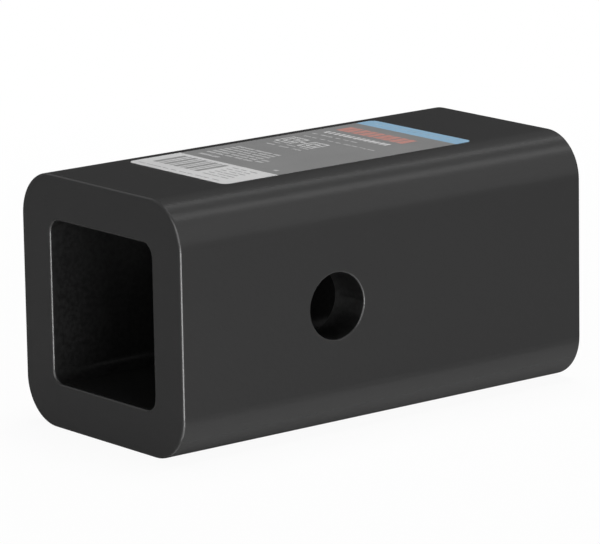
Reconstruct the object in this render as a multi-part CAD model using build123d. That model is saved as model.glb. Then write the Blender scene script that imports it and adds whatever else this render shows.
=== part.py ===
from build123d import *
import os

# A reducer sleeve for a towing hitch: one short length of thick-walled square steel tube.
# Its outside slides into a 2 inch receiver tube, and its inside takes a 1-1/4 inch shank.
# A pin hole is drilled square through both side walls, nearer one end than the other.
# A printed film is stuck on the flat of the top wall.
# Sizes are in millimetres. The origin is the middle of the underside, +Z is up, and +X
# runs along the tube, away from the end that the pin hole is nearer to.

# The tube
body_width = 50.8             # across the flats outside, upright and sideways alike
body_length = 101.6
wall = 9.0                    # leaves an opening 32.8 wide, for a shank 31.75 wide
outer_corner_radius = 9.2
inner_corner_radius = 2.8
end_rounding = 0.5            # on the outer and inner edges of both cut ends

# The pin that locks the sleeve and the shank in the receiver
pin_diameter = 12.7
pin_clearance = 0.6           # how much wider the hole is than the pin
pin_to_near_end = 38.1        # from the pin's axis to the cut end on the -X side
pin_hole_rounding = 0.3       # on the edges of the hole, outside and inside

# The printed film
film_length = 63.0
film_to_near_end = 18.4       # from the film to the cut end on the -X side
film_side_margin = 0.325      # bare flat left between the film and the bend on each side
film_corner_radius = 1.6
film_thickness = 0.15

# Worked out from the sizes above
opening_width = body_width - 2 * wall
mid_height = body_width / 2
pin_x = pin_to_near_end - body_length / 2
pin_hole_radius = (pin_diameter + pin_clearance) / 2
flat_width = body_width - 2 * outer_corner_radius
film_width = flat_width - 2 * film_side_margin
film_x = film_to_near_end + film_length / 2 - body_length / 2


def make_sleeve():
    """The tube with its open passage, rounded end edges and drilled pin hole."""
    with BuildPart() as sleeve:
        with BuildSketch(Plane.YZ) as section:
            with Locations((0, mid_height)):
                RectangleRounded(body_width, body_width, outer_corner_radius)
                RectangleRounded(opening_width, opening_width, inner_corner_radius, mode=Mode.SUBTRACT)
        extrude(amount=body_length / 2, both=True)
        fillet(sleeve.faces().filter_by(Axis.X).edges(), end_rounding)
        with BuildSketch(Plane.XZ) as drilling:
            with Locations((pin_x, mid_height)):
                Circle(pin_hole_radius)
        extrude(amount=body_width, both=True, mode=Mode.SUBTRACT)
        rims = sleeve.edges(Select.LAST).filter_by(GeomType.CIRCLE)
        fillet(rims, pin_hole_rounding)
    return sleeve.part


def make_film():
    """The printed film, lying flat on the top wall, a little nearer the end by the pin hole."""
    with BuildPart() as film:
        with BuildSketch(Plane.XY.offset(body_width)):
            with Locations((film_x, 0)):
                RectangleRounded(film_length, film_width, film_corner_radius)
        extrude(amount=film_thickness)
    return film.part


os.makedirs("parts", exist_ok=True)
export_step(make_sleeve(), "parts/sleeve_tube.step")
export_step(make_film(), "parts/printed_film.step")
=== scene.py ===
# %% [markdown]
# # A reducer sleeve for a towing hitch
#
# The sleeve is one short length of thick-walled square steel tube. It slides into the square
# mouth of a hitch receiver and makes it smaller. Its surface is black powder coat, and a printed
# film is stuck on its top wall. The steel comes ready made from the CAD model. This lesson gives
# it its coat, makes the film with its printing, and sets up the studio that both are seen in.

# %% Load the fixed frame
from math import asin, atan2, cos, degrees, pi, radians, sin

import bmesh
import bpy
from mathutils import Matrix, Vector


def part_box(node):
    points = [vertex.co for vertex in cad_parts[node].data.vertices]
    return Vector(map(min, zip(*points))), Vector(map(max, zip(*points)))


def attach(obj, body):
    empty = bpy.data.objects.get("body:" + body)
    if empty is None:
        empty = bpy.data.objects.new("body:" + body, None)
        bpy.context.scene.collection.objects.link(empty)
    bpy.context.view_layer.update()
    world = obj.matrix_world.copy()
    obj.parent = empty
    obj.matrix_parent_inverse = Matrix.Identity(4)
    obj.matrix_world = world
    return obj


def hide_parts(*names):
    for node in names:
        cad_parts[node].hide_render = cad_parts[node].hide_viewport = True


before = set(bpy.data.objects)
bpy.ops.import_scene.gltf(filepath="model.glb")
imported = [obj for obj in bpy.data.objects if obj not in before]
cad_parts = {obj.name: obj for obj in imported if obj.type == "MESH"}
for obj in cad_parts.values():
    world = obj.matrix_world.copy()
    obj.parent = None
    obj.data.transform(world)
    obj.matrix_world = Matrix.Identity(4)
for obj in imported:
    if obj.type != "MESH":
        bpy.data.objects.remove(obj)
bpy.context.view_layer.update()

mm = 0.001

print("CAD nodes:", sorted(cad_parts))

# %% [markdown]
# ## Sizes
#
# The sleeve stands in one frame with its CAD model, in metres. The sizes that the looks need
# could be typed in again, but reading them from the frame keeps them right. Only the thickness
# of the wall isn't to be had from a box, so it's written here.

# %% Take the sleeve's sizes from the frame
tube_low, tube_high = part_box("sleeve_tube")
film_low, film_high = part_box("printed_film")
tube_length = tube_high.x - tube_low.x
tube_width = tube_high.y - tube_low.y
mid_height = (tube_low.z + tube_high.z) / 2
wall = 0.009
opening_width = tube_width - 2 * wall
middle = Vector((0, 0, mid_height))

print(f"tube {tube_length / mm:.1f} mm long and {tube_width / mm:.1f} mm wide")
print(f"opening {opening_width / mm:.1f} mm wide")

# %% [markdown]
# ## The camera
#
# The picture was taken with a long lens from a little above one open end. Such a lens keeps
# the far end nearly as large as the near end. The camera is turned in three steps: about the
# upright axis, then down from level, then a little about its own line of sight.

# %% Place the camera
camera_place = Vector((-0.56878, -0.70649, 0.22748))
camera_turn = radians(-38.764)
camera_tilt = radians(77.484)
camera_roll = radians(-0.961)
picture_width = 600
focal_length_in_pixels = 4657.0
sensor_width = 36.0
scene = bpy.context.scene


def add_object(name, data):
    """A new object, linked to the scene."""
    thing = bpy.data.objects.new(name, data)
    scene.collection.objects.link(thing)
    return thing


camera_data = bpy.data.cameras.new("camera")
camera_data.sensor_width = sensor_width
camera_data.lens = focal_length_in_pixels * sensor_width / picture_width
camera = add_object("camera", camera_data)
camera.matrix_world = (
    Matrix.Translation(camera_place)
    @ Matrix.Rotation(camera_turn, 4, "Z")
    @ Matrix.Rotation(camera_tilt, 4, "X")
    @ Matrix.Rotation(camera_roll, 4, "Z")
)
scene.camera = camera
scene.view_settings.view_transform = "Standard"

towards_camera = (camera_place - middle).normalized()
print(f"lens {camera_data.lens:.1f} mm, {(camera_place - middle).length:.3f} m from the sleeve")

# %% [markdown]
# ## What a glossy surface shows
#
# A black glossy surface has hardly any colour of its own, so its picture is made of what it
# mirrors. A face sends the camera's line of sight on in one direction only, and what stands in
# that direction shows on it. The helper here works that direction out from the way that a face
# points, so each lamp and each card below can be hung where its reflection is wanted.

# %% Find the direction that a face mirrors
def mirrored_by(facing):
    """The direction in which the camera, looking at a face, sees the surroundings."""
    normal = Vector(facing).normalized()
    return (2 * normal.dot(towards_camera) * normal - towards_camera).normalized()


def bend_facing(angle):
    """The way that the upper bend points, from 0 on the side wall to 90 on the top wall."""
    return Vector((0, -cos(radians(angle)), sin(radians(angle))))


def compass(direction):
    """A direction as degrees round the upright axis from +X, and degrees above the horizon."""
    return degrees(atan2(direction.y, direction.x)), degrees(asin(direction.z))


faces = {"side wall": (0, -1, 0), "end": (-1, 0, 0), "top wall": (0, 0, 1)}
for name, facing in faces.items():
    around, above = compass(mirrored_by(facing))
    print(f"the {name} mirrors what stands {around:.0f} degrees round and {above:.0f} up")

# %% [markdown]
# ## Small steps that every material shares
#
# A node material is a chain of small steps, and the same few come again and again: a step of
# arithmetic, a value led from one range to another, a place on the object. Each gets a function
# here, so that the materials below read as what they do. All places are Object coordinates,
# which stay with the object in every picture.

# %% Define the small steps
def grey(tone):
    """A grey as a colour with its alpha."""
    return (tone, tone, tone, 1)


def maths(tree, operation, *values):
    """One step of arithmetic, on sockets or plain numbers."""
    node = tree.nodes.new("ShaderNodeMath")
    node.operation = operation
    for socket, value in zip(node.inputs, values):
        if isinstance(value, (int, float)):
            socket.default_value = value
        else:
            tree.links.new(value, socket)
    return node.outputs[0]


def map_range(tree, value, old, new, kind="SMOOTHSTEP"):
    """A value led from the range old to the range new, softly or in a straight line."""
    node = tree.nodes.new("ShaderNodeMapRange")
    node.interpolation_type = kind
    node.inputs["From Min"].default_value, node.inputs["From Max"].default_value = old
    node.inputs["To Min"].default_value, node.inputs["To Max"].default_value = new
    tree.links.new(value, node.inputs["Value"])
    return node.outputs["Result"]


def object_place(tree):
    """The place on the object."""
    return tree.nodes.new("ShaderNodeTexCoord").outputs["Object"]


def separate(tree, vector):
    """The three numbers of a vector."""
    node = tree.nodes.new("ShaderNodeSeparateXYZ")
    tree.links.new(vector, node.inputs[0])
    return node.outputs


def mix_shaders(tree, share, first, second, output):
    """Two shaders led to the output, mixed by the second one's share."""
    mix = tree.nodes.new("ShaderNodeMixShader")
    tree.links.new(share, mix.inputs["Fac"])
    tree.links.new(first.outputs[0], mix.inputs[1])
    tree.links.new(second.outputs[0], mix.inputs[2])
    tree.links.new(mix.outputs[0], output.inputs["Surface"])


def blank_material(name):
    """A material with an output and nothing else, and its tree."""
    material = bpy.data.materials.new(name)
    material.use_nodes = True
    tree = material.node_tree
    tree.nodes.clear()
    tree.nodes.new("ShaderNodeOutputMaterial")
    return material, tree


def surface_material(name):
    """A material with a surface shader, its tree and the shader."""
    material = bpy.data.materials.new(name)
    material.use_nodes = True
    tree = material.node_tree
    return material, tree, tree.nodes["Principled BSDF"]


print("greys are written as", grey(0.5))

# %% [markdown]
# ## The white background and the floor
#
# The picture has a white background. It is made white for the eye only: the Light Path node
# tells rays from the camera apart, and those that a glossy or a clear thing sends on. They see
# plain white. All other rays see the studio's dim grey, so the white doesn't light the sleeve.
# The floor is mixed from the same white and a pale matt surface, and the matt share keeps the
# sleeve's soft shadow.

# %% Tell what the eye sees
def eye_mask(tree):
    """A socket that is 1 for rays from the camera and for those sent on by gloss or glass."""
    path = tree.nodes.new("ShaderNodeLightPath")
    either = maths(tree, "MAXIMUM", path.outputs["Is Camera Ray"], path.outputs["Is Glossy Ray"])
    return maths(tree, "MAXIMUM", either, path.outputs["Is Transmission Ray"])


# %% Make the world
studio_grey = 0.3

world = bpy.data.worlds.new("white_studio")
world.use_nodes = True
world.cycles.sampling_method = "NONE"
scene.world = world
tree = world.node_tree
tree.nodes.clear()
dim = tree.nodes.new("ShaderNodeBackground")
dim.inputs["Color"].default_value = grey(studio_grey)
white = tree.nodes.new("ShaderNodeBackground")
white.inputs["Color"].default_value = grey(1)
mix_shaders(tree, eye_mask(tree), dim, white, tree.nodes.new("ShaderNodeOutputWorld"))
print(f"world: white for the eye, {studio_grey} for the light")


# %% Lay the floor
floor_reach = 4.0
floor_colour = 0.9
white_share_near = 0.94
white_share_far = 1.0
near_floor = 0.09
far_floor = 0.35


def stage_object(name, mesh, material):
    """A thing of the studio, which isn't part of the sleeve."""
    mesh.materials.append(material)
    thing = add_object(name, mesh)
    return thing


def floor_material():
    """Pale and matt, and mostly plain white to the eye, the more so away from the sleeve."""
    material, tree = blank_material("pale_floor")
    matt = tree.nodes.new("ShaderNodeBsdfDiffuse")
    matt.inputs["Color"].default_value = grey(floor_colour)
    white = tree.nodes.new("ShaderNodeEmission")
    away = tree.nodes.new("ShaderNodeVectorMath")
    away.operation = "LENGTH"
    tree.links.new(object_place(tree), away.inputs[0])
    reach, shares = (near_floor, far_floor), (white_share_near, white_share_far)
    whitening = map_range(tree, away.outputs["Value"], reach, shares)
    share = maths(tree, "MULTIPLY", eye_mask(tree), whitening)
    mix_shaders(tree, share, matt, white, tree.nodes["Material Output"])
    return material


floor_mesh = bpy.data.meshes.new("floor")
corners = [(x * floor_reach, y * floor_reach, 0) for x, y in ((-1, -1), (1, -1), (1, 1), (-1, 1))]
floor_mesh.from_pydata(corners, [], [(0, 1, 2, 3)])
floor = stage_object("floor", floor_mesh, floor_material())
floor.visible_glossy = False
floor.visible_shadow = False
print(f"floor {2 * floor_reach:.0f} m square, {white_share_near} white beside the sleeve")

# %% [markdown]
# ## The studio's walls
#
# White all round would turn the coat grey, most of all on the top wall, which the camera sees at
# a low angle. So the sleeve stands in a room that the camera looks through, as between a
# photographer's cards. Its walls are pale in front, where the lamps are, fade to dark
# behind, and are dimmer high up. The white shows straight over it and under it. A dark belt at
# the height of the horizon keeps the flat side wall darker than the bends over and under it.

# %% Put up the walls
wall_distance = 3.0
wall_lowest = -70
wall_highest = 70
wall_step = 10
bright_side = Vector((0.35, -0.9, 0.15)).normalized()
front_tone = 0.376
back_tone = 0.052
fade_start = -0.41
fade_end = 0.3
high_share = 0.5
high_start = 0.55
high_end = 0.78

belt_distance = 2.5
belt_lowest = -22.5
belt_highest = 1.5
belt_tone = 0.035


def join_rings(build, first, second):
    """Faces all the way round between two rings that have as many points each."""
    for step in range(len(first)):
        after = (step + 1) % len(first)
        build.faces.new((first[step], first[after], second[after], second[step]))


def finished_mesh(build, name):
    """What was built, as a mesh of its own."""
    mesh = bpy.data.meshes.new(name)
    build.to_mesh(mesh)
    build.free()
    return mesh


def round_wall(name, distance, heights, sides=64):
    """A ring of upright faces round the sleeve, through the given degrees over the horizon."""
    build = bmesh.new()
    rings = []
    for above in heights:
        ring = []
        for step in range(sides):
            turn = 2 * pi * step / sides
            out = Vector((cos(turn), sin(turn), 0)) * cos(radians(above))
            ring.append(build.verts.new(distance * (out + Vector((0, 0, sin(radians(above)))))))
        rings.append(ring)
    for lower, upper in zip(rings, rings[1:]):
        join_rings(build, lower, upper)
    build.normal_update()
    return finished_mesh(build, name)


def glowing(name, tone):
    """An even dark or pale tone that doesn't depend on the lamps."""
    material, tree = blank_material(name)
    material.cycles.emission_sampling = "NONE"
    card = tree.nodes.new("ShaderNodeEmission")
    card.inputs["Color"].default_value = grey(tone)
    tree.links.new(card.outputs[0], tree.nodes["Material Output"].inputs["Surface"])
    return material


def fading_walls(name):
    """Pale towards the bright side, dark away from it, and dimmer high up."""
    material = glowing(name, 1)
    tree = material.node_tree
    place = object_place(tree)
    towards = tree.nodes.new("ShaderNodeVectorMath")
    towards.operation = "DOT_PRODUCT"
    towards.inputs[1].default_value = bright_side / wall_distance
    tree.links.new(place, towards.inputs[0])
    fade, tones = (fade_start, fade_end), (back_tone, front_tone)
    tone = map_range(tree, towards.outputs["Value"], fade, tones, "LINEAR")
    heights = (high_start * wall_distance, high_end * wall_distance)
    dimming = map_range(tree, separate(tree, place)["Z"], heights, (1, high_share))
    strength = maths(tree, "MULTIPLY", tone, dimming)
    tree.links.new(strength, tree.nodes["Emission"].inputs["Strength"])
    return material


wall_heights = range(wall_lowest, wall_highest + wall_step, wall_step)
walls_mesh = round_wall("studio_walls", wall_distance, wall_heights)
walls = stage_object("studio_walls", walls_mesh, fading_walls("studio_walls"))
belt_mesh = round_wall("dark_belt", belt_distance, (belt_lowest, belt_highest))
belt = stage_object("dark_belt", belt_mesh, glowing("dark_belt", belt_tone))
for screen in (walls, belt):
    screen.visible_camera = False
    screen.visible_shadow = False
print(f"walls from {wall_lowest} to {wall_highest} degrees, {front_tone} in front, {back_tone} behind")

# %% [markdown]
# ## Lamps
#
# Light does two things on a glossy coat. It lights the coat's own colour, and the gloss mirrors
# the lamp itself, as lines along the bends and the edges. One lamp could do both, but then each
# change to the one would change the other. So every soft box here has one task: those for
# the colour are hidden from the gloss, and those for the gloss don't light the colour.
#
# A soft box is a glowing rectangle that faces the sleeve. Its brightness is given as what a
# mirror would show of it, where 1 is white. The power that Blender wants follows from it: the
# brightness times pi times the area.

# %% Make a soft box
lamp_distance = 1.6
lamp_upward = (0, 0, 1)


def soft_box(name, task, direction, size, brightness, distance=lamp_distance, upward=lamp_upward):
    """A glowing rectangle that faces the sleeve, with its height turned towards upward."""
    data = bpy.data.lights.new(name, "AREA")
    data.shape = "RECTANGLE"
    data.size, data.size_y = size
    data.energy = brightness * pi * data.size * data.size_y
    lamp = add_object(name, data)
    direction = Vector(direction).normalized()
    side = Vector(upward).cross(direction).normalized()
    turn = Matrix((side, direction.cross(side), direction)).transposed().to_4x4()
    lamp.matrix_world = Matrix.Translation(middle + direction * distance) @ turn
    lamp.visible_camera = False
    lamp.visible_glossy = task == "gloss"
    lamp.visible_diffuse = task == "colour"
    around, above = compass(direction)
    print(f"{name}: {around:.0f} degrees round, {above:.0f} up, brightness {brightness}")


def direction_at(around, above):
    """The direction that is so many degrees round from +X and above the horizon."""
    level = cos(radians(above))
    return Vector((level * cos(radians(around)), level * sin(radians(around)), sin(radians(above))))


# %% Light the colour
# One lamp for each side that the camera sees: nearly overhead, level with the end, and in front
overhead = (0.15, 0.05, 1)
overhead_distance = 1.5
before_end = (-1, 0.17, 0)
in_front = direction_at(262, -5)

soft_box("lamp_over", "colour", overhead, size=(0.9, 0.6), brightness=9.2, distance=overhead_distance)
soft_box("lamp_end", "colour", before_end, size=(0.8, 0.8), brightness=6.95)
soft_box("lamp_front", "colour", in_front, size=(1.0, 0.8), brightness=6.85)

# %% Hang what the gloss mirrors
# Two strips along the tube draw the light lines on the upper bend
along_tube = (1, 0, 0)
low_line = mirrored_by(bend_facing(43))
high_line = mirrored_by(bend_facing(61))

soft_box("strip_low", "gloss", low_line, size=(0.28, 0.7), brightness=1.07, upward=along_tube)
soft_box("strip_high", "gloss", high_line, size=(0.24, 0.7), brightness=0.86, upward=along_tube)

# Two low cards side by side draw the upright edges, and one behind draws the level ones.
# Two wide, dim ones round the camera light the rims of the corners and of the pin hole.
low_card_turns = (241.5, 266.5)
low_card_height = -12.6
behind = mirrored_by((-0.7, 0, 0.7))
over_camera = direction_at(222, 24)
under_camera = direction_at(255, -42)

for number, around in enumerate(low_card_turns):
    low = direction_at(around, low_card_height)
    soft_box(f"low_card_{number}", "gloss", low, size=(0.78, 0.45), brightness=10)
soft_box("card_behind", "gloss", behind, size=(1.6, 0.9), brightness=0.42)
soft_box("card_high", "gloss", over_camera, size=(2.0, 1.3), brightness=2.5)
soft_box("card_under", "gloss", under_camera, size=(1.4, 0.9), brightness=2.5)

# %% [markdown]
# ## A grain that coat and film share
#
# Powder coat flows a little before it sets, which leaves soft ripples a millimetre or so apart,
# as on an orange's skin, with a finer grain between them. The film that is stuck down on
# it has a fine grain too. So the grain is one node group with its sizes as inputs, and each
# material places it with its own values.

# %% Build the grain group
ripple_detail = 1
grain_detail = 2
clouds_per_metre = 60


def grain_group():
    """Ripples and fine grain added up to one height, and a wide cloud."""
    group = bpy.data.node_groups.new("ripple_and_grain", "ShaderNodeTree")
    defaults = {"Ripple Size": 0.0012, "Grain Size": 0.0003, "Grain Share": 0.3}
    for name, value in defaults.items():
        socket = group.interface.new_socket(name=name, in_out="INPUT", socket_type="NodeSocketFloat")
        socket.default_value = value
    for name in ("Height", "Cloud"):
        group.interface.new_socket(name=name, in_out="OUTPUT", socket_type="NodeSocketFloat")
    start = group.nodes.new("NodeGroupInput")
    end = group.nodes.new("NodeGroupOutput")
    place = object_place(group)

    def noise(size_socket, detail):
        """Noise whose ripples are as far apart as the named size."""
        texture = group.nodes.new("ShaderNodeTexNoise")
        texture.inputs["Detail"].default_value = detail
        group.links.new(place, texture.inputs["Vector"])
        group.links.new(maths(group, "DIVIDE", 1, start.outputs[size_socket]), texture.inputs["Scale"])
        return texture.outputs["Fac"]

    mixed = group.nodes.new("ShaderNodeMix")
    group.links.new(start.outputs["Grain Share"], mixed.inputs["Factor"])
    group.links.new(noise("Ripple Size", ripple_detail), mixed.inputs["A"])
    group.links.new(noise("Grain Size", grain_detail), mixed.inputs["B"])
    group.links.new(mixed.outputs["Result"], end.inputs["Height"])
    cloud = group.nodes.new("ShaderNodeTexNoise")
    cloud.inputs["Scale"].default_value = clouds_per_metre
    group.links.new(place, cloud.inputs["Vector"])
    group.links.new(cloud.outputs["Fac"], end.inputs["Cloud"])
    return group


grain = grain_group()
print("grain group inputs and outputs:", [item.name for item in grain.interface.items_tree])

# %% Define the steps that use it
cloud_range = (0.3, 0.7)


def place_grain(tree, **values):
    """The shared grain group, placed in a material with that material's own values."""
    node = tree.nodes.new("ShaderNodeGroup")
    node.node_tree = grain
    for name, value in values.items():
        node.inputs[name.replace("_", " ").title()].default_value = value
    return node


def bumped(tree, height, depth, shader):
    """A height led to the shader's Normal as a bump of that depth in metres."""
    bump = tree.nodes.new("ShaderNodeBump")
    bump.inputs["Distance"].default_value = depth
    tree.links.new(height, bump.inputs["Height"])
    tree.links.new(bump.outputs["Normal"], shader.inputs["Normal"])


def shaded_by_cloud(tree, colour, cloud, shades):
    """A colour made a little darker and lighter by a soft cloud, between two shades."""
    lightness = map_range(tree, cloud, cloud_range, shades)
    shaded = tree.nodes.new("ShaderNodeVectorMath")
    shaded.operation = "SCALE"
    tree.links.new(colour, shaded.inputs[0])
    tree.links.new(lightness, shaded.inputs["Scale"])
    return shaded.outputs["Vector"]


print(f"a cloud shades a colour as its noise goes from {cloud_range[0]} to {cloud_range[1]}")

# %% [markdown]
# ## The powder coat
#
# The real sleeve is steel under a baked coat of black powder. It is satin, not glossy, and the
# powder reaches the outside evenly. Little of it gets into the passage and the pin hole, so
# there the coat is thin, dull and uneven. Its colour there is also made darker than outside:
# that is painted shade in the passage and the pin hole. Those inner walls could be cut off as
# faces with a material of their own. A mask leaves the steel whole: it works out from Object
# coordinates how far a point lies from the tube's middle line and from the pin hole's axis, and
# so it stays on the same places in every picture.

# %% Make the powder coat
coat_colour = (0.03, 0.03, 0.03)
# painted shade: the walls of the passage and the pin hole are coloured darker than the coat
painted_shade_inside_colour = (0.0125, 0.0125, 0.0125)
thin_shades = (0.5, 1.5)
coat_roughness = 0.26
thin_roughness = 0.32
ripple_depth = 0.00004
thin_edge = 0.0002
end_rounding = 0.0005
pin_hole_rounding = 0.0003
pin_hole_place = -0.0127
pin_hole_radius = 0.00665


def inside_mask(tree):
    """1 on the walls of the passage and of the pin hole, and 0 on the outside and the rims."""
    def inner(value, limit):
        """1 up to the limit, and 0 from a thin edge beyond it."""
        return map_range(tree, value, (limit, limit + thin_edge), (1, 0))

    axes = separate(tree, object_place(tree))
    along = maths(tree, "ABSOLUTE", axes["X"])
    across = maths(tree, "ABSOLUTE", axes["Y"])
    height = maths(tree, "SUBTRACT", axes["Z"], mid_height)

    reach = maths(tree, "MAXIMUM", across, maths(tree, "ABSOLUTE", height))
    in_opening = inner(reach, opening_width / 2 + thin_edge / 2)
    between_ends = inner(along, tube_length / 2 - end_rounding - thin_edge)
    passage = maths(tree, "MULTIPLY", in_opening, between_ends)

    aside = maths(tree, "SUBTRACT", axes["X"], pin_hole_place)
    squares = [maths(tree, "MULTIPLY", length, length) for length in (aside, height)]
    from_axis = maths(tree, "SQRT", maths(tree, "ADD", *squares))
    in_hole = inner(from_axis, pin_hole_radius + thin_edge / 2)
    between_sides = inner(across, tube_width / 2 - pin_hole_rounding - thin_edge)
    hole = maths(tree, "MULTIPLY", in_hole, between_sides)
    return maths(tree, "MAXIMUM", passage, hole)


def powder_coat():
    """Black, satin, with soft ripples, and duller inside, where painted shade makes it darker."""
    material, tree, shader = surface_material("powder_coat_black")
    skin = place_grain(tree, ripple_size=0.0009, grain_size=0.0004, grain_share=0.3)
    inside = inside_mask(tree)
    # painted shade: the inside gets a darker colour than the coat, speckled by the grain
    thin = tree.nodes.new("ShaderNodeRGB")
    thin.outputs[0].default_value = (*painted_shade_inside_colour, 1)
    speckled = shaded_by_cloud(tree, thin.outputs[0], skin.outputs["Height"], thin_shades)
    colour = tree.nodes.new("ShaderNodeMix")
    colour.data_type = "RGBA"
    tree.links.new(inside, colour.inputs["Factor"])
    colour.inputs[6].default_value = (*coat_colour, 1)
    tree.links.new(speckled, colour.inputs[7])
    tree.links.new(colour.outputs[2], shader.inputs["Base Color"])
    roughness = map_range(tree, inside, (0, 1), (coat_roughness, thin_roughness), "LINEAR")
    tree.links.new(roughness, shader.inputs["Roughness"])
    bumped(tree, skin.outputs["Height"], ripple_depth, shader)
    return material


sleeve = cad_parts["sleeve_tube"]
sleeve.data.materials[0] = powder_coat()

print(f"coat roughness {coat_roughness}, ripples {ripple_depth / mm:.2f} mm deep")

# %% [markdown]
# ## The printed film
#
# The film is a thin sheet with rounded corners. It is printed in three fields across its
# whole width: a white panel towards the open end, a grey field, and a blue band at the far end. A
# field that fills the sheet from side to side needs no shape of its own, so a colour ramp along
# X paints all three. The ink marks on them are thin pieces, made further down. The sheet and its
# ink together are thinner than the CAD film, which is thick enough to be handled as a solid.

# %% Make the film's material
panel_end = -0.0194
band_start = 0.0259
panel_colour = (0.77, 0.77, 0.77, 1)
field_colour = (0.28, 0.28, 0.28, 1)
band_colour = (0.335, 0.56, 0.76, 1)
film_roughness = 0.36
film_shades = (0.95, 1.03)
film_grain_depth = 0.00001


def along_film(place):
    """How far along the film a place on X lies, from 0 to 1."""
    return (place - film_low.x) / (film_high.x - film_low.x)


def film_print():
    """Three fields of print along X under a satin skin with a fine grain."""
    material, tree, shader = surface_material("film_print")
    shader.inputs["Roughness"].default_value = film_roughness
    place = separate(tree, object_place(tree))["X"]
    along = map_range(tree, place, (film_low.x, film_high.x), (0, 1), "LINEAR")
    ramp = tree.nodes.new("ShaderNodeValToRGB")
    ramp.color_ramp.interpolation = "CONSTANT"
    stops = ramp.color_ramp.elements
    stops[0].position, stops[0].color = 0, panel_colour
    stops[1].position, stops[1].color = along_film(panel_end), field_colour
    stops.new(along_film(band_start)).color = band_colour
    tree.links.new(along, ramp.inputs["Fac"])
    skin = place_grain(tree, ripple_size=0.0025, grain_size=0.00025, grain_share=0.5)
    shaded = shaded_by_cloud(tree, ramp.outputs["Color"], skin.outputs["Cloud"], film_shades)
    tree.links.new(shaded, shader.inputs["Base Color"])
    bumped(tree, skin.outputs["Height"], film_grain_depth, shader)
    return material


film_material = film_print()
print(f"print fields change at {panel_end / mm:.1f} and {band_start / mm:.1f} mm")

# %% [markdown]
# ## The sheet
#
# The outline is a rectangle with rounded corners, so it is walked corner by corner, a quarter
# turn each. The upper edge of a cut film is a little soft, so the outline is drawn
# three times: at the foot, just under the top, and a little inside on the top. On its far side
# the sheet stops a little short of the CAD film, where the real sleeve shows bare coat.

# %% Build the film sheet
sheet_thickness = 0.00006
ink_thickness = 0.00002
film_corner = 0.0016
edge_softness = 0.00002
far_side_bare = 0.00075
corner_steps = 8
corner_signs = ((1, 1), (-1, 1), (-1, -1), (1, -1))
sheet_high = Vector((film_high.x, film_high.y - far_side_bare, film_high.z))


def rounded_outline(low, high, radius, inset):
    """Points round a rectangle with rounded corners, drawn in by inset."""
    points = []
    turn = radius - inset
    for corner, (sx, sy) in enumerate(corner_signs):
        centre_x = (high.x - radius) if sx > 0 else (low.x + radius)
        centre_y = (high.y - radius) if sy > 0 else (low.y + radius)
        for step in range(corner_steps + 1):
            angle = pi / 2 * (corner + step / corner_steps)
            points.append((centre_x + turn * cos(angle), centre_y + turn * sin(angle)))
    return points


def film_sheet():
    """The sheet from the tube's top wall up to the underside of the ink."""
    top = film_low.z + sheet_thickness
    levels = ((film_low.z, 0), (top - edge_softness, 0), (top, edge_softness))
    build = bmesh.new()
    rings = []
    for height, inset in levels:
        outline = rounded_outline(film_low, sheet_high, film_corner, inset)
        rings.append([build.verts.new((x, y, height)) for x, y in outline])
    for lower, upper in zip(rings, rings[1:]):
        join_rings(build, lower, upper)
    build.faces.new(rings[-1])
    build.faces.new(rings[0][::-1])
    return finished_mesh(build, "film_sheet"), top


film_mesh, film_top = film_sheet()
film_mesh.materials.append(film_material)
film = add_object("film_sheet", film_mesh)
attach(film, "root")
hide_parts("printed_film")
print(f"film sheet with {len(film_mesh.polygons)} faces, top at {film_top / mm:.2f} mm")

# %% [markdown]
# ## The marks on the film
#
# All print on the film is generic. Bars, dashes and blocks stand where its lines of words were, and
# each group of them is the same thing: one thin block, set out in rows and columns. That is
# what Geometry Nodes are for. The tree has a grid of points, puts a block on each and lets
# the blocks' lengths vary, as words do. Each group of marks is the same tree with its own sizes.

# %% Build the tree that sets out marks
mark_inputs = {
    "Centre": "Vector", "Columns": "Int", "Rows": "Int", "Pitch": "Vector",
    "Mark Size": "Vector", "Shortest Share": "Float", "Seed": "Int", "Ink": "Material",
}


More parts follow.
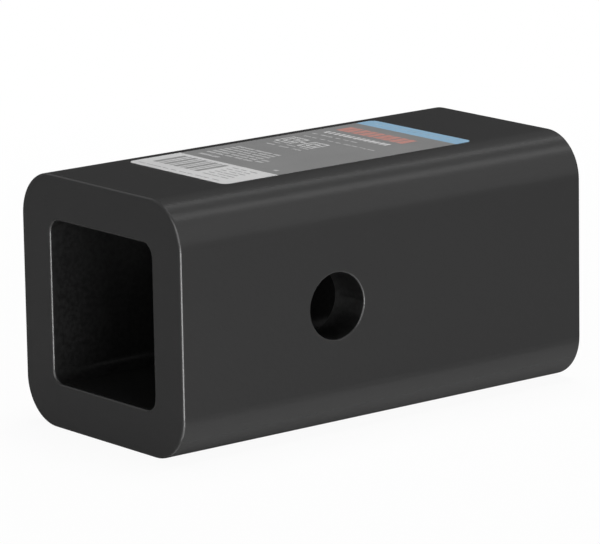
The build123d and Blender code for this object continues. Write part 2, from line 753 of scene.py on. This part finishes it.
def marks_tree():
    """Thin blocks on a grid of points, with the sizes as named inputs."""
    tree = bpy.data.node_groups.new("printed_marks", "GeometryNodeTree")
    tree.is_modifier = True
    tree.interface.new_socket(name="Geometry", in_out="OUTPUT", socket_type="NodeSocketGeometry")
    for name, kind in mark_inputs.items():
        tree.interface.new_socket(name=name, in_out="INPUT", socket_type="NodeSocket" + kind)
    nodes, links = tree.nodes, tree.links
    start = nodes.new("NodeGroupInput")
    end = nodes.new("NodeGroupOutput")
    pitch = separate(tree, start.outputs["Pitch"])
    size = separate(tree, start.outputs["Mark Size"])

    grid = nodes.new("GeometryNodeMeshGrid")
    for axis, count in (("X", "Columns"), ("Y", "Rows")):
        links.new(start.outputs[count], grid.inputs["Vertices " + axis])
        gaps = maths(tree, "SUBTRACT", start.outputs[count], 1)
        links.new(maths(tree, "MULTIPLY", pitch[axis], gaps), grid.inputs["Size " + axis])

    chance = nodes.new("FunctionNodeRandomValue")
    chance.data_type = "FLOAT"
    links.new(start.outputs["Shortest Share"], chance.inputs[2])
    chance.inputs[3].default_value = 1.0
    links.new(start.outputs["Seed"], chance.inputs["Seed"])
    share = chance.outputs[1]

    # A shorter block moves by half of what it lacks, so that all of a row line up at their +Y ends
    half_lacking = maths(tree, "MULTIPLY", maths(tree, "SUBTRACT", 1, share), 0.5)
    shift = nodes.new("ShaderNodeCombineXYZ")
    links.new(maths(tree, "MULTIPLY", size["Y"], half_lacking), shift.inputs["Y"])
    whole_shift = nodes.new("ShaderNodeVectorMath")
    links.new(shift.outputs[0], whole_shift.inputs[0])
    links.new(start.outputs["Centre"], whole_shift.inputs[1])
    move = nodes.new("GeometryNodeSetPosition")
    links.new(grid.outputs["Mesh"], move.inputs["Geometry"])
    links.new(whole_shift.outputs[0], move.inputs["Offset"])

    block = nodes.new("GeometryNodeMeshCube")
    links.new(start.outputs["Mark Size"], block.inputs["Size"])
    stretch = nodes.new("ShaderNodeCombineXYZ")
    stretch.inputs["X"].default_value = 1
    stretch.inputs["Z"].default_value = 1
    links.new(share, stretch.inputs["Y"])
    place = nodes.new("GeometryNodeInstanceOnPoints")
    links.new(move.outputs[0], place.inputs["Points"])
    links.new(block.outputs["Mesh"], place.inputs["Instance"])
    links.new(stretch.outputs[0], place.inputs["Scale"])
    real = nodes.new("GeometryNodeRealizeInstances")
    links.new(place.outputs[0], real.inputs[0])
    paint = nodes.new("GeometryNodeSetMaterial")
    links.new(real.outputs[0], paint.inputs["Geometry"])
    links.new(start.outputs["Ink"], paint.inputs["Material"])
    links.new(paint.outputs[0], end.inputs[0])
    return tree


printed_marks = marks_tree()
print("mark inputs:", list(mark_inputs))

# %% Mix the inks
ink_shades = (0.88, 1.06)
ink_grain_depth = 0.000008
ink_colours = {
    "dark": (0.36, 0.36, 0.36),
    "grey": (0.45, 0.45, 0.45),
    "white": (0.78, 0.78, 0.78),
    "pale": (0.56, 0.56, 0.56),
    "red": (0.62, 0.31, 0.27),
    "pale_blue": (0.4, 0.55, 0.68),
}


def ink(name, colour):
    """Print of one colour, slightly uneven, with the film's fine grain."""
    material, tree, shader = surface_material(name)
    shader.inputs["Roughness"].default_value = film_roughness
    plain = tree.nodes.new("ShaderNodeRGB")
    plain.outputs[0].default_value = (*colour, 1)
    skin = place_grain(tree, ripple_size=0.0008, grain_size=0.0002, grain_share=0.5)
    shaded = shaded_by_cloud(tree, plain.outputs[0], skin.outputs["Height"], ink_shades)
    tree.links.new(shaded, shader.inputs["Base Color"])
    bumped(tree, skin.outputs["Height"], ink_grain_depth, shader)
    return material


inks = {name: ink("ink_" + name, colour) for name, colour in ink_colours.items()}
print("inks:", sorted(inks))

# %% Set out the marks
def set_out(name, colour, centre, columns, rows, pitch, size, shortest=1.0, seed=0):
    """One group of marks as a plain mesh. Lengths are in millimetres on the film."""
    holder = add_object(name + "_tree", bpy.data.meshes.new(name + "_tree"))
    modifier = holder.modifiers.new("marks", "NODES")
    modifier.node_group = printed_marks
    values = {
        "Centre": (centre[0] * mm, centre[1] * mm, film_top + ink_thickness / 2),
        "Columns": columns,
        "Rows": rows,
        "Pitch": (pitch[0] * mm, pitch[1] * mm, 0),
        "Mark Size": (size[0] * mm, size[1] * mm, ink_thickness),
        "Shortest Share": shortest,
        "Seed": seed,
        "Ink": inks[colour],
    }
    for item in printed_marks.interface.items_tree:
        if item.in_out == "INPUT":
            modifier[item.identifier] = values[item.name]
    bpy.context.view_layer.update()
    evaluated = holder.evaluated_get(bpy.context.evaluated_depsgraph_get())
    mesh = bpy.data.meshes.new_from_object(evaluated)
    mesh.name = name
    bpy.data.objects.remove(holder)
    marks = add_object(name, mesh)
    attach(marks, "root")
    print(f"{name}: {columns * rows} marks")


# Each line says the ink, the middle, how many along X and along Y, how far apart, the size of
# one mark and, where lengths vary, the shortest share of it and the seed
set_out("panel_ruling", "dark", (-24.5, 4.9), 1, 5, (0, 3.25), (7.8, 1.3))
set_out("panel_fine_ruling", "grey", (-24.5, 4.9), 1, 4, (0, 3.25), (7.8, 0.7))
set_out("panel_lines", "grey", (-24.9, -8.2), 6, 3, (1.45, 2.7), (0.42, 2.55), 0.6, 3)
set_out("panel_heading", "grey", (-30.9, 0.4), 1, 10, (0, 2.6), (0.3, 2.4), 0.6, 4)
set_out("title_row", "white", (15.6, 2.2), 1, 13, (0, 1.55), (1.6, 1.15), 0.6, 5)
set_out("red_row", "red", (20.4, 1.9), 1, 9, (0, 2.35), (4.1, 2.1), 0.78, 6)
set_out("small_row_long", "pale", (9.8, 0.8), 1, 9, (0, 2.5), (0.4, 2.3), 0.6, 6)
set_out("small_row_short", "pale", (12.7, 5.6), 1, 6, (0, 2.4), (0.5, 2.2), 0.6, 7)
set_out("paragraph_rows", "pale", (-10.7, 5.3), 6, 5, (1.5, 2.9), (0.75, 2.7), 0.75, 7)
set_out("paragraph_end", "pale", (-13.0, -3.5), 2, 1, (1.5, 2.9), (0.75, 2.6), 0.7, 8)
set_out("short_row", "pale", (-16.7, 8.9), 1, 3, (0, 2.2), (0.9, 2.1), 0.8, 8)
set_out("far_row", "pale", (-16.8, -12.2), 1, 1, (0, 1.2), (0.8, 1.2))
set_out("band_row", "pale_blue", (28.4, 0.0), 1, 12, (0, 2.0), (0.7, 1.6), 0.5, 9)

# %% [markdown]
# ## The two squares
#
# Two outlined squares, a large one and a small one with a bar between them, stand for what the
# sleeve does: it takes a small square into a large one. An outline is a square ring, so each is
# made by joining an outer and an inner square.

# %% Draw the two squares
outline_width = 0.4
large_centre = (5.0, 9.9)
small_centre = (4.6, 2.7)
outlines = ((large_centre, 2.6), (large_centre, 1.4), (small_centre, 2.4), (small_centre, 1.2))


def square_ring(build, centre, half):
    """One outlined square, as thick as the ink, from its middle and half its width in mm."""
    loops = {}
    for level, height in enumerate((film_top, film_top + ink_thickness)):
        for edge, reach in (("outer", half * mm), ("inner", half * mm - outline_width * mm)):
            points = [
                (centre[0] * mm + sx * reach, centre[1] * mm + sy * reach, height)
                for sx, sy in corner_signs
            ]
            loops[edge, level] = [build.verts.new(point) for point in points]
    join_rings(build, loops["outer", 1], loops["inner", 1])
    join_rings(build, loops["inner", 0], loops["outer", 0])
    join_rings(build, loops["outer", 0], loops["outer", 1])
    join_rings(build, loops["inner", 1], loops["inner", 0])


squares = bmesh.new()
for centre, half in outlines:
    square_ring(squares, centre, half)
bmesh.ops.recalc_face_normals(squares, faces=squares.faces)
squares_mesh = finished_mesh(squares, "two_squares")
squares_mesh.materials.append(inks["white"])
two_squares = add_object("two_squares", squares_mesh)
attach(two_squares, "root")
set_out("squares_bar", "white", (4.9, 6.2), 1, 1, (0, 0), (0.5, 1.6))
set_out("squares_label", "pale", (0.3, 5.4), 2, 3, (1.8, 4.2), (0.5, 3.0), 0.6, 10)
print(f"two squares with {len(squares_mesh.polygons)} faces")
